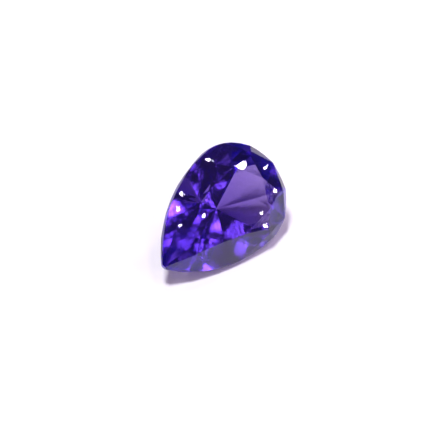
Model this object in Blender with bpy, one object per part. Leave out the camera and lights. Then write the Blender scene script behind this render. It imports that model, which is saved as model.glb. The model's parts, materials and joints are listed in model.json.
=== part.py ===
"""A pear-cut tanzanite gemstone, one solid, lying on a flat facet of its pavilion.

The stone is worked as a lapidary works it. A slab with the pear outline is cut by one plane for each
facet: the table, the bezels, the stars and the upper halves above the girdle, the mains and the lower
halves below it. A small chip is then struck out of the girdle, and the stone is laid on one main facet.
"""

import math

import bmesh
import bpy
from mathutils import Matrix, Vector

MM = 0.001

# Outline, seen from above the table with the tip at -Y and the head at +Y
LENGTH = 10.0 * MM
WIDTH = 7.05 * MM
HEAD = 3.2 * MM  # from the widest line to the end of the head
TIP_FLAT = 0.37 * MM  # the blunt end of the tip
STEPS = 3  # straight runs of girdle along each half facet

# Heights
CROWN = 1.0 * MM
GIRDLE = 0.40 * MM
PAVILION = 3.4 * MM

# Facets of the crown and of the pavilion
TABLE = 0.58  # size of the table against the outline
TABLE_CENTRE = Vector((0.0, -0.5 * MM, 0.0))
CULET_ALONG = -1.1 * MM  # the culet lies this far from the widest line, towards the tip
STAR = 0.25  # how far a star reaches from the table towards the girdle
UPPER_HALF = 0.55  # how far an upper half reaches from the girdle towards the table
TIP_UPPER_HALF = 0.70  # the same for those beside the tip
LOWER_HALF = 0.51  # how far a lower half reaches from the girdle towards the culet
HEAD_MAIN = math.radians(90)  # directions in which the main facets and the bezels face
SHOULDER_MAIN = math.radians(30)
BELLY_MAIN = math.radians(-17)
WING_MAIN = math.radians(-30)
TIP_MAIN = math.radians(-90)

# Chip in the girdle on the shoulder of the head
CHIP_RADIUS = 0.35 * MM
CHIP_DEPTH = 0.07 * MM
CHIP_FACING = math.radians(61)

# Points closer to a cutting plane than this lie on it
ON_PLANE = 0.0004 * MM

SIDE_RISE = (WIDTH - TIP_FLAT) / 2
SIDE_RUN = LENGTH - HEAD
SIDE_RADIUS = (SIDE_RISE**2 + SIDE_RUN**2) / (2 * SIDE_RISE)
TIP_EDGE = -math.asin(SIDE_RUN / SIDE_RADIUS)  # where the side's arc meets the blunt tip

CROWN_FOOT = GIRDLE / 2
PAVILION_FOOT = -GIRDLE / 2
CULET = Vector((0.0, CULET_ALONG, PAVILION_FOOT - PAVILION))


def facing(azimuth):
    """The level direction at this azimuth, counted from +X towards +Y."""
    return Vector((math.cos(azimuth), math.sin(azimuth), 0.0))


def outline_point(azimuth):
    """The point of the right half of the outline that faces this way: an ellipse, then an arc to the tip."""
    if azimuth <= TIP_MAIN:
        return Vector((0.0, -SIDE_RUN, 0.0))
    if azimuth < 0:
        across = WIDTH / 2 - SIDE_RADIUS + SIDE_RADIUS * math.cos(azimuth)
        return Vector((across, SIDE_RADIUS * math.sin(azimuth), 0.0))
    across = (WIDTH / 2) ** 2 * math.cos(azimuth)
    along = HEAD**2 * math.sin(azimuth)
    reach = math.hypot(WIDTH / 2 * math.cos(azimuth), HEAD * math.sin(azimuth))
    return Vector((across / reach, along / reach, 0.0))


def between(start, end, share):
    return start + (end - start) * share


class Station:
    """A main facet's place on the girdle: its point on the outline and the way it faces."""

    def __init__(self, azimuth, mirrored):
        flip = -1.0 if mirrored else 1.0
        self.azimuth = azimuth
        self.point = outline_point(azimuth)
        self.point.x *= flip
        self.out = facing(azimuth)
        self.out.x *= flip

    def at(self, height):
        return self.point + Vector((0.0, 0.0, height))


def stations():
    """The eight mains in order round the girdle, from the head down the right side and back up the left."""
    right = [HEAD_MAIN, SHOULDER_MAIN, BELLY_MAIN, WING_MAIN, TIP_MAIN]
    left = [WING_MAIN, BELLY_MAIN, SHOULDER_MAIN]
    return [Station(azimuth, False) for azimuth in right] + [Station(azimuth, True) for azimuth in left]


def span_points(first, second):
    """Points of the outline from one main to the next. The middle one stands out furthest between them."""
    mirrored = min(first.point.x, second.point.x) < -TIP_FLAT
    start = max(first.azimuth, TIP_EDGE)
    end = max(second.azimuth, TIP_EDGE)
    chord = outline_point(min(start, end)) - outline_point(max(start, end))
    middle = math.atan2(chord.x, -chord.y)
    shares = [step / STEPS for step in range(STEPS)]
    azimuths = [between(start, middle, share) for share in shares]
    azimuths += [between(middle, end, share) for share in shares]
    azimuths.append(end)
    points = [outline_point(azimuth) for azimuth in azimuths]
    if mirrored:
        for point in points:
            point.x = -point.x
    return points


def slab(spans):
    """The blank that the facets are cut from: the outline, carried up past the table and down past the culet."""
    rim = []
    for points in spans:
        rim.extend(point for point in points if not rim or (point - rim[-1]).length > ON_PLANE)
    if (rim[0] - rim[-1]).length < ON_PLANE:
        rim.pop()
    mesh = bmesh.new()
    below = [mesh.verts.new((point.x, point.y, 2 * CULET.z)) for point in rim]
    base = mesh.faces.new(below)
    grown = bmesh.ops.extrude_face_region(mesh, geom=[base])
    raised = [item for item in grown["geom"] if isinstance(item, bmesh.types.BMVert)]
    bmesh.ops.translate(mesh, vec=(0.0, 0.0, -4 * CULET.z), verts=raised)
    bmesh.ops.recalc_face_normals(mesh, faces=mesh.faces)
    return mesh


def cut(mesh, point, normal):
    """Takes off all that lies outside the plane and closes the facet that it leaves."""
    everything = mesh.verts[:] + mesh.edges[:] + mesh.faces[:]
    result = bmesh.ops.bisect_plane(
        mesh, geom=everything, dist=ON_PLANE, plane_co=point, plane_no=normal, clear_outer=True
    )
    rim = [item for item in result["geom_cut"] if isinstance(item, bmesh.types.BMEdge)]
    bmesh.ops.contextual_create(mesh, geom=rim)


def cut_through(mesh, first, second, third):
    """Cuts the facet that holds these three points."""
    normal = (second - first).cross(third - first).normalized()
    if normal.dot(first) < 0:
        normal.negate()
    cut(mesh, first, normal)


def tangent_normal(station, foot, inner):
    """The normal of the plane that touches the outline at the station and holds the inner point."""
    level = Vector((-station.out.y, station.out.x, 0.0))
    normal = level.cross(inner - foot).normalized()
    if normal.dot(station.out) < 0:
        normal.negate()
    return normal


def meeting_point(first_point, first_normal, second_point, second_normal, height):
    """Where two facet planes cross each other at this height."""
    system = Matrix((first_normal, second_normal, (0.0, 0.0, 1.0)))
    return system.inverted() @ Vector(
        (first_normal.dot(first_point), second_normal.dot(second_point), height)
    )


def cut_crown(mesh, mains, spans):
    table_height = CROWN_FOOT + CROWN
    cut(mesh, Vector((0.0, 0.0, table_height)), Vector((0.0, 0.0, 1.0)))
    feet = [main.at(CROWN_FOOT) for main in mains]
    corners = [between(TABLE_CENTRE, main.point, TABLE) for main in mains]
    for corner in corners:
        corner.z = table_height
    normals = [tangent_normal(*each) for each in zip(mains, feet, corners)]
    for foot, normal in zip(feet, normals):
        cut(mesh, foot, normal)
    for index, points in enumerate(spans):
        after = (index + 1) % len(mains)
        planes = (feet[index], normals[index], feet[after], normals[after])
        above = meeting_point(*planes, table_height)
        below = meeting_point(*planes, CROWN_FOOT)
        beside_tip = TIP_MAIN in (mains[index].azimuth, mains[after].azimuth)
        star_tip = between(above, below, STAR)
        half_tip = between(below, above, TIP_UPPER_HALF if beside_tip else UPPER_HALF)
        middle = points[STEPS] + Vector((0.0, 0.0, CROWN_FOOT))
        cut_through(mesh, corners[index], corners[after], star_tip)
        cut_through(mesh, feet[index], middle, half_tip)
        cut_through(mesh, middle, feet[after], half_tip)


def main_normals(mains):
    feet = [main.at(PAVILION_FOOT) for main in mains]
    return [tangent_normal(main, foot, CULET) for main, foot in zip(mains, feet)]


def cut_pavilion(mesh, mains, spans):
    feet = [main.at(PAVILION_FOOT) for main in mains]
    normals = main_normals(mains)
    for foot, normal in zip(feet, normals):
        cut(mesh, foot, normal)
    for index, points in enumerate(spans):
        after = (index + 1) % len(mains)
        planes = (feet[index], normals[index], feet[after], normals[after])
        tip = between(meeting_point(*planes, PAVILION_FOOT), CULET, LOWER_HALF)
        middle = points[STEPS] + Vector((0.0, 0.0, PAVILION_FOOT))
        cut_through(mesh, feet[index], middle, tip)
        cut_through(mesh, middle, feet[after], tip)


def tanzanite_material():
    material = bpy.data.materials.new("tanzanite")
    material.use_nodes = True
    surface = material.node_tree.nodes["Principled BSDF"]
    surface.inputs["Base Color"].default_value = (0.09, 0.05, 0.45, 1.0)
    surface.inputs["Roughness"].default_value = 0.02
    surface.inputs["Metallic"].default_value = 0.0
    surface.inputs["IOR"].default_value = 1.69
    surface.inputs["Transmission Weight"].default_value = 1.0
    return material


def chip_cutter(stone):
    """A ball that bites a shallow shell-shaped chip out of the girdle."""
    ball = bmesh.new()
    bmesh.ops.create_icosphere(ball, subdivisions=3, radius=CHIP_RADIUS)
    shape = bpy.data.meshes.new("chip_cutter")
    ball.to_mesh(shape)
    ball.free()
    cutter = bpy.data.objects.new("chip_cutter", shape)
    bpy.context.scene.collection.objects.link(cutter)
    cutter.parent = stone
    cutter.location = outline_point(CHIP_FACING) + facing(CHIP_FACING) * (CHIP_RADIUS - CHIP_DEPTH)
    cutter.hide_render = True
    cutter.display_type = "WIRE"
    return cutter


def lay_down(stone, resting_normal):
    """Turns the stone onto the facet, with its length along Y, and centres it over the origin."""
    settle = resting_normal.rotation_difference(Vector((0.0, 0.0, -1.0))).to_matrix()
    lengthwise = settle @ Vector((0.0, 1.0, 0.0))
    swing = Matrix.Rotation(math.atan2(lengthwise.x, lengthwise.y), 3, "Z")
    turn = swing @ settle
    corners = [turn @ vertex.co for vertex in stone.data.vertices]
    lowest = [min(corner[axis] for corner in corners) for axis in range(3)]
    highest = [max(corner[axis] for corner in corners) for axis in range(3)]
    stone.rotation_euler = turn.to_euler()
    stone.location = (
        -(lowest[0] + highest[0]) / 2,
        -(lowest[1] + highest[1]) / 2,
        -lowest[2],
    )


def build_tanzanite():
    mains = stations()
    spans = [span_points(main, mains[(index + 1) % len(mains)]) for index, main in enumerate(mains)]
    mesh = slab(spans)
    cut_crown(mesh, mains, spans)
    cut_pavilion(mesh, mains, spans)
    shape = bpy.data.meshes.new("tanzanite")
    mesh.to_mesh(shape)
    mesh.free()
    stone = bpy.data.objects.new("tanzanite", shape)
    bpy.context.scene.collection.objects.link(stone)
    shape.materials.append(tanzanite_material())
    chip = stone.modifiers.new("chip", "BOOLEAN")
    chip.operation = "DIFFERENCE"
    chip.object = chip_cutter(stone)
    resting = next(index for index, main in enumerate(mains) if main.azimuth == BELLY_MAIN)
    lay_down(stone, main_normals(mains)[resting])


def clear_scene():
    for thing in list(bpy.data.objects):
        bpy.data.objects.remove(thing, do_unlink=True)


clear_scene()
build_tanzanite()
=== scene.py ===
"""The looks of a pear-cut tanzanite gemstone lying on a pale floor under soft studio light."""

import json
import math

import bpy
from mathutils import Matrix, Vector

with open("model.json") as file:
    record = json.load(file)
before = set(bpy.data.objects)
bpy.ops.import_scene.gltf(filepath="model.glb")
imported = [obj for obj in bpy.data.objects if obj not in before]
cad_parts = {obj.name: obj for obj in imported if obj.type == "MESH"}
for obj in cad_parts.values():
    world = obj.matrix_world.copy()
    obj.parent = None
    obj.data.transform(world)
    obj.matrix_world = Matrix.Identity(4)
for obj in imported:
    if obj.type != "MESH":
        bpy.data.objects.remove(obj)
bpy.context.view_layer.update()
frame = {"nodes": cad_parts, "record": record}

MM = 0.001
FLOOR_GAP = 0.02 * MM  # keeps the floor clear of the facet that lies on it

# Camera, at the photo's viewing angle
CAMERA_AZIMUTH = 44.05
CAMERA_ELEVATION = 47.41
CAMERA_LENS = 400.0
CAMERA_SENSOR = 36.0
PHOTO_SIDE = 430
PHOTO_SCALE = 15.80  # pixels of the photo to a millimetre
STONE_AT = (217.87, 240.42)  # where the photo shows the stone's origin, in pixels

# Gem material. The colour and the density together say what a metre of stone takes out of the light.
GEM_IOR = 1.69
ABSORPTION_COLOUR = (0.36, 0.08, 0.86, 1.0)
ABSORPTION_DENSITY = 340.0
EDGE_WIDTH = 0.025 * MM  # the worn edges between facets
GIRDLE_ROUGHNESS = 0.30
GIRDLE_TOP = 1.0 * MM  # below the table
GIRDLE_BOTTOM = 1.4 * MM
# Painted shade: a dark tint on the pavilion, so that the floor seen through the stone looks shaded, as it is
# under the stone
PAVILION_PAINTED_SHADE = (0.24, 0.18, 0.38, 1.0)
WAVE_LENGTH = 0.24 * MM
WAVE_HEIGHT = 0.010 * MM
# How much of the pavilion's waves and painted shade the crown gets
CROWN_SHARE_OF_WAVES_AND_SHADE = 0.01

# Lights
LIGHT_DISTANCE = 0.6
WHITE = (1.0, 1.0, 1.0)
LAVENDER = (0.92, 0.76, 1.0)
# Where the photo shows white glints on the crown, in pixels: the wide one, and the small ones
WIDE_GLINT_AT = (241, 165)
SMALL_GLINTS_AT = (
    (209, 160), (180, 225), (178, 209), (182, 194), (204, 216), (262, 213), (266, 226), (275, 190), (266, 167),
)
WORLD_STRENGTH = 0.09


def direction(azimuth, elevation):
    """The unit vector from the stone towards a place at this azimuth and elevation, in degrees."""
    turn = math.radians(azimuth)
    rise = math.radians(elevation)
    return Vector((math.sin(turn) * math.cos(rise), -math.cos(turn) * math.cos(rise), math.sin(rise)))


def view_frame():
    """The camera's place, its ways right and up, and the point that shows at the middle of the photo."""
    towards = direction(CAMERA_AZIMUTH, CAMERA_ELEVATION)
    turn = math.radians(CAMERA_AZIMUTH)
    right = Vector((math.cos(turn), math.sin(turn), 0.0))
    up = towards.cross(right)
    across = (PHOTO_SIDE / 2 - STONE_AT[0]) / PHOTO_SCALE * MM
    down = (PHOTO_SIDE / 2 - STONE_AT[1]) / PHOTO_SCALE * MM
    aim = right * across - up * down
    width = PHOTO_SIDE / PHOTO_SCALE * MM
    place = aim + towards * width * CAMERA_LENS / CAMERA_SENSOR
    return place, right, up, aim


def table_facet():
    """The middle of the table facet, and the way it faces, which is also the axis of the girdle."""
    for mount in frame["record"]["mounts"]:
        if mount["name"] == "table":
            return Vector(mount["pos_m"]), Vector(mount["axis"]).normalized()
    raise ValueError("the record has no table mount")


def gem_material():
    material = bpy.data.materials.new("tanzanite")
    material.use_nodes = True
    nodes = material.node_tree.nodes
    links = material.node_tree.links
    surface = nodes["Principled BSDF"]
    surface.inputs["Transmission Weight"].default_value = 1.0
    surface.inputs["IOR"].default_value = GEM_IOR
    absorption = nodes.new("ShaderNodeVolumeAbsorption")
    absorption.inputs["Color"].default_value = ABSORPTION_COLOUR
    absorption.inputs["Density"].default_value = ABSORPTION_DENSITY
    links.new(absorption.outputs["Volume"], nodes["Material Output"].inputs["Volume"])
    place = nodes.new("ShaderNodeTexCoord")
    table_middle, table_axis = table_facet()

    # The girdle is ground but not polished: its faces stand square to the table
    slope = nodes.new("ShaderNodeVectorMath")
    slope.operation = "DOT_PRODUCT"
    slope.inputs[1].default_value = table_axis
    links.new(place.outputs["Normal"], slope.inputs[0])
    square = nodes.new("ShaderNodeMath")
    square.operation = "ABSOLUTE"
    links.new(slope.outputs["Value"], square.inputs[0])
    rough = nodes.new("ShaderNodeMapRange")
    rough.inputs["From Min"].default_value = 0.03
    rough.inputs["From Max"].default_value = 0.08
    rough.inputs["To Min"].default_value = GIRDLE_ROUGHNESS
    rough.inputs["To Max"].default_value = 0.0
    links.new(square.outputs["Value"], rough.inputs["Value"])
    links.new(rough.outputs["Result"], surface.inputs["Roughness"])

    # Polishing leaves every facet a little wavy, and the pavilion more than the crown. The pavilion also gets
    # painted shade: a darker tint.
    waves = nodes.new("ShaderNodeTexNoise")
    waves.inputs["Scale"].default_value = 1.0 / WAVE_LENGTH
    waves.inputs["Detail"].default_value = 6.0
    links.new(place.outputs["Object"], waves.inputs["Vector"])
    level = nodes.new("ShaderNodeVectorMath")
    level.operation = "DOT_PRODUCT"
    level.inputs[1].default_value = table_axis
    links.new(place.outputs["Object"], level.inputs[0])
    under = nodes.new("ShaderNodeMapRange")
    under.inputs["From Min"].default_value = table_middle.dot(table_axis) - GIRDLE_BOTTOM
    under.inputs["From Max"].default_value = table_middle.dot(table_axis) - GIRDLE_TOP
    under.inputs["To Min"].default_value = 1.0
    under.inputs["To Max"].default_value = CROWN_SHARE_OF_WAVES_AND_SHADE
    links.new(level.outputs["Value"], under.inputs["Value"])
    # Painted shade: the pavilion is tinted dark, standing in for the shaded floor seen through it
    tint = nodes.new("ShaderNodeMix")
    tint.data_type = "RGBA"
    tint.inputs["A"].default_value = (1.0, 1.0, 1.0, 1.0)
    tint.inputs["B"].default_value = PAVILION_PAINTED_SHADE
    links.new(under.outputs["Result"], tint.inputs["Factor"])
    links.new(tint.outputs["Result"], surface.inputs["Base Color"])
    worn = nodes.new("ShaderNodeBevel")
    worn.samples = 4
    worn.inputs["Radius"].default_value = EDGE_WIDTH
    polish = nodes.new("ShaderNodeBump")
    polish.inputs["Distance"].default_value = WAVE_HEIGHT
    links.new(waves.outputs["Fac"], polish.inputs["Height"])
    links.new(under.outputs["Result"], polish.inputs["Strength"])
    links.new(worn.outputs["Normal"], polish.inputs["Normal"])
    links.new(polish.outputs["Normal"], surface.inputs["Normal"])
    return material


def dress_stone():
    stone = frame["nodes"]["tanzanite"]
    material = gem_material()
    stone.data.materials.clear()
    stone.data.materials.append(material)
    for face in stone.data.polygons:
        face.use_smooth = False


def make_floor():
    bpy.ops.mesh.primitive_plane_add(size=3.0, location=(0.0, 0.0, -FLOOR_GAP))
    floor = bpy.context.object
    floor.name = "floor"
    material = bpy.data.materials.new("floor")
    material.use_nodes = True
    surface = material.node_tree.nodes["Principled BSDF"]
    surface.inputs["Base Color"].default_value = (0.93, 0.92, 0.94, 1.0)
    surface.inputs["Roughness"].default_value = 0.6
    floor.data.materials.append(material)


def make_light(name, towards, spread, radiance, tint=LAVENDER, seen_from=Vector((0.0, 0.0, 0.0))):
    """A round lamp this way from a point of the stone, which takes up this many degrees of the sky there."""
    size = 2 * LIGHT_DISTANCE * math.tan(math.radians(spread / 2))
    light = bpy.data.lights.new(name, "AREA")
    light.shape = "DISK"
    light.color = tint
    light.size = size
    light.energy = radiance * math.pi * math.pi * (size / 2) ** 2
    lamp = bpy.data.objects.new(name, light)
    bpy.context.scene.collection.objects.link(lamp)
    lamp.location = seen_from + towards * LIGHT_DISTANCE
    lamp.rotation_euler = towards.to_track_quat("Z", "Y").to_euler()


def make_glint(name, pixel, spread, radiance):
    """A lamp that the facet at this pixel of the photo mirrors into the camera."""
    place, right, up, aim = view_frame()
    across = (pixel[0] - PHOTO_SIDE / 2) / PHOTO_SCALE * MM
    down = (pixel[1] - PHOTO_SIDE / 2) / PHOTO_SCALE * MM
    ray = (aim + right * across - up * down - place).normalized()
    stone = frame["nodes"]["tanzanite"]
    into_stone = stone.matrix_world.inverted()
    hit, spot, normal, face = stone.ray_cast(into_stone @ place, into_stone.to_3x3() @ ray)
    normal = (stone.matrix_world.to_3x3() @ normal).normalized()
    make_light(name, ray.reflect(normal), spread, radiance, LAVENDER, stone.matrix_world @ spot)


def make_world():
    world = bpy.data.worlds.new("studio")
    world.use_nodes = True
    background = world.node_tree.nodes["Background"]
    background.inputs["Color"].default_value = (0.75, 0.6, 1.0, 1.0)
    background.inputs["Strength"].default_value = WORLD_STRENGTH
    bpy.context.scene.world = world


def make_camera():
    camera = bpy.data.cameras.new("camera")
    camera.lens = CAMERA_LENS
    camera.sensor_width = CAMERA_SENSOR
    camera.clip_start = 0.005
    view = bpy.data.objects.new("camera", camera)
    bpy.context.scene.collection.objects.link(view)
    view.location = view_frame()[0]
    view.rotation_euler = direction(CAMERA_AZIMUTH, CAMERA_ELEVATION).to_track_quat("Z", "Y").to_euler()
    bpy.context.scene.camera = view


def set_light_transport():
    """Lets light cross the stone many times, and shows colours as they are."""
    scene = bpy.context.scene
    scene.cycles.max_bounces = 24
    scene.cycles.glossy_bounces = 16
    scene.cycles.transmission_bounces = 16
    scene.view_settings.view_transform = "Standard"


dress_stone()
make_floor()
make_world()
bpy.context.view_layer.update()
make_light("key", direction(285.0, 80.0), 13.0, 60.0, WHITE)
make_light("fill", direction(138.0, 72.0), 10.0, 16.0)
make_light("left", direction(235.0, 60.0), 6.0, 30.0)
make_light("low left", direction(283.0, 38.0), 6.0, 24.0)
make_light("right", direction(116.0, 50.0), 8.0, 15.0)
make_light("low right", direction(109.0, 22.0), 14.0, 8.0)
make_light("side", direction(71.0, 46.0), 6.0, 16.0)
make_light("low side", direction(66.0, 12.0), 10.0, 12.0)
make_light("behind", direction(182.0, 34.0), 8.0, 32.0)
make_light("low back", direction(158.0, 23.0), 5.0, 36.0)
make_light("front", direction(350.0, 62.0), 4.0, 14.0)
make_glint("wide glint", WIDE_GLINT_AT, 0.17, 60.0)
for pixel in SMALL_GLINTS_AT:
    make_glint("small glint", pixel, 0.035, 200.0)
make_camera()
set_light_transport()
